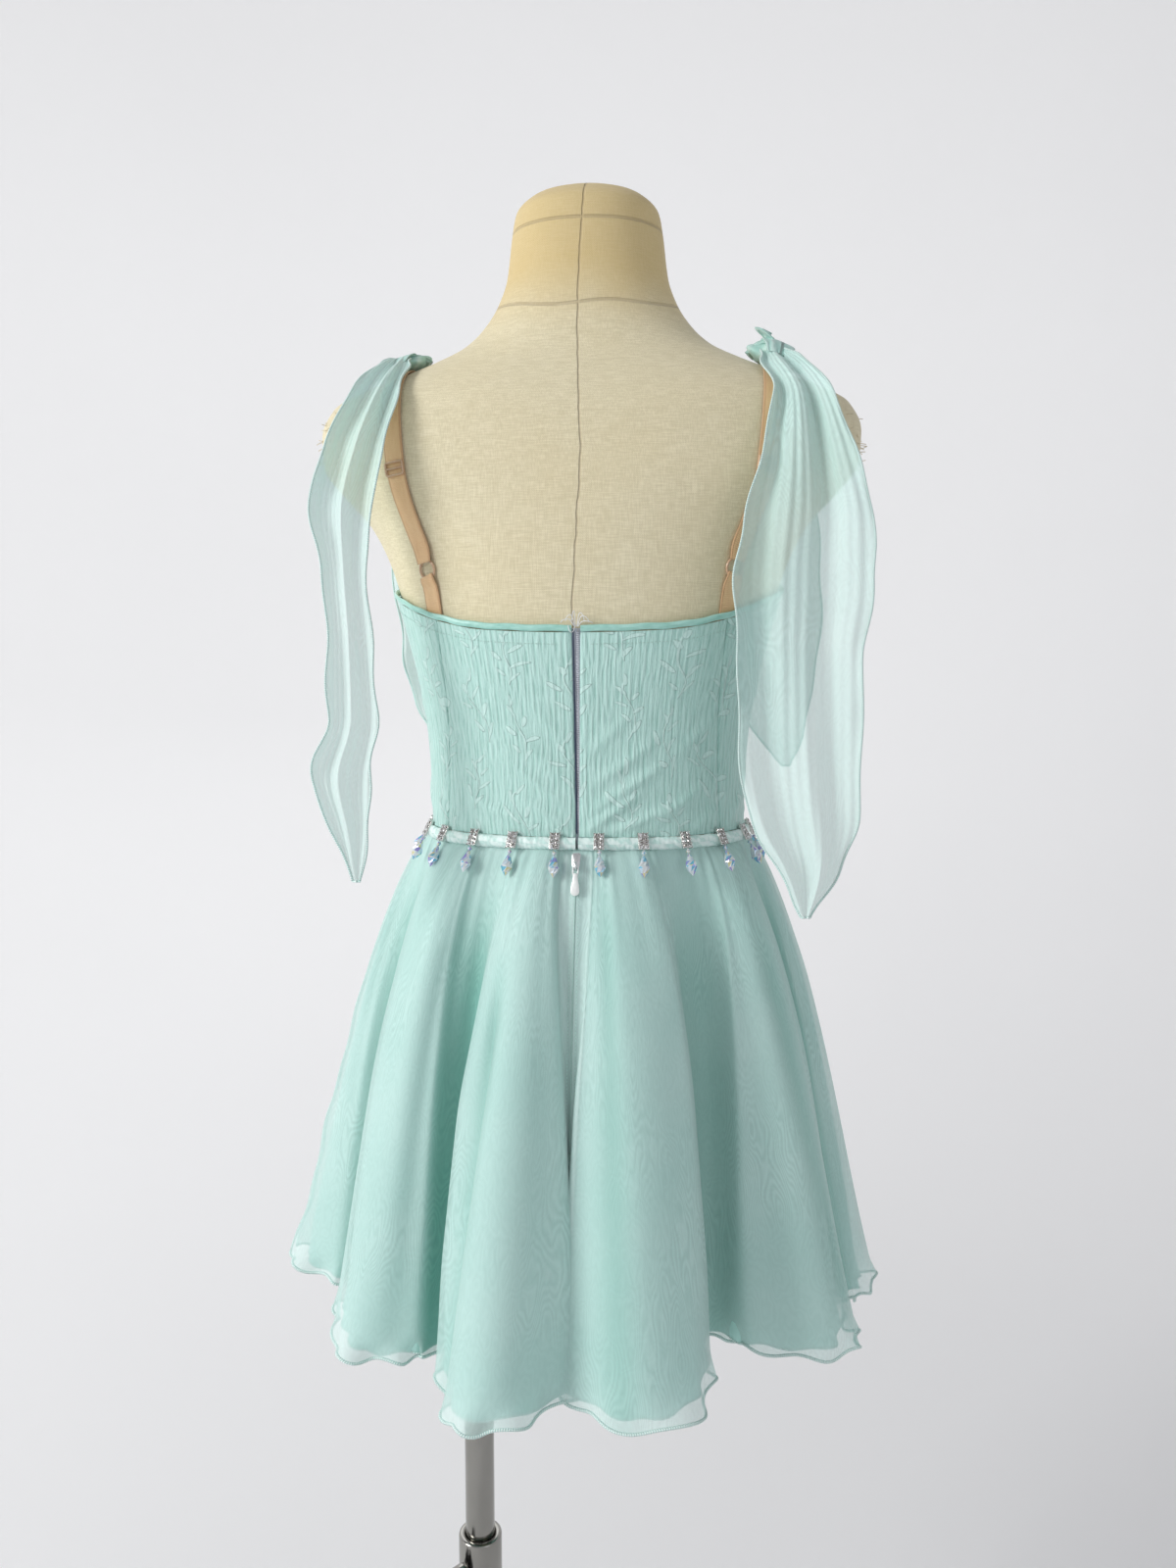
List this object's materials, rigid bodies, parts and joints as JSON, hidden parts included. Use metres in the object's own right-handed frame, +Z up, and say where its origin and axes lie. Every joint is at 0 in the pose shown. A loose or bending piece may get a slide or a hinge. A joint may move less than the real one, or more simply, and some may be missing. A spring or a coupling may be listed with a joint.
{
  "type": "lyrical dance dress on a limbless dress form with a pole stand",
  "caption": "Sleeveless dance dress with a panelled bodice, flared two-layer chiffon skirt, crystal waist trim and tied shoulder scarves, on a linen form with a chrome pole stand.",
  "frame": {"origin": "centre of the base plate's underside, on the floor", "axes": "+Z up; +Y towards the back of the dress, where the zip is; +X towards the wearer's left"},
  "size_m": [0.4524, 0.4088, 1.399],
  "materials": {
    "satin": "satin",
    "binding": "satin",
    "chiffon": "matte",
    "underlayer": "satin",
    "zip_tape": "matte",
    "elastic": "satin",
    "strap_fitting": "gloss",
    "linen": "matte",
    "zip_metal": "satin",
    "chrome": "polished",
    "base_steel": "satin",
    "crystal": "gloss",
    "rhinestone": "gloss"
  },
  "bodies": {
    "stand": {"base_plate": "base_steel", "pole_sleeve": "chrome"},
    "clamp": {"clamp_screw": "chrome"},
    "figure": {"pole": "chrome", "form_body": "linen", "bodice_front": "satin", "bodice_side_front_left": "satin", "bodice_side_front_right": "satin", "bodice_side_back_left": "satin", "bodice_side_back_right": "satin", "bodice_back_left": "satin", "bodice_back_right": "satin", "top_binding": "binding", "waist_piping": "satin", "outer_skirt_back_left": "chiffon", "outer_skirt_back_right": "chiffon", "outer_skirt_front": "chiffon", "underskirt_back_left": "underlayer", "underskirt_back_right": "underlayer", "underskirt_front": "underlayer", "zip_tape_left": "zip_tape", "zip_tape_right": "zip_tape", "zip_slider": "zip_metal", "strap_left": "elastic", "strap_right": "elastic", "strap_loop_left": "elastic", "strap_loop_right": "elastic", "strap_ring_left": "strap_fitting", "strap_ring_right": "strap_fitting", "strap_adjuster_left": "strap_fitting", "strap_adjuster_right": "strap_fitting", "scarf_left_knot": "chiffon", "scarf_right_knot": "chiffon", "scarf_left_back_tail": "chiffon", "scarf_right_back_tail": "chiffon", "scarf_left_front_tail": "chiffon", "scarf_right_front_tail": "chiffon"},
    "pull": {"zip_pull": "zip_metal"}
  },
  "joints": [
    {"name": "pole_slide", "type": "slide", "parent": "stand", "child": "figure", "axis": [0, 0, 1], "range_m": [-0.1, 0.2]},
    {"name": "clamp_turn", "type": "hinge", "parent": "stand", "child": "clamp", "pos_m": [0.086, 0, 0.355], "axis": [0.6428, 0.766, 0], "range_deg": [0, 270]},
    {"name": "pull_flip", "type": "hinge", "parent": "figure", "child": "pull", "pos_m": [0, 0.09419, 0.93569], "axis": [1, 0, 0], "range_deg": [0, 150]}
  ]
}
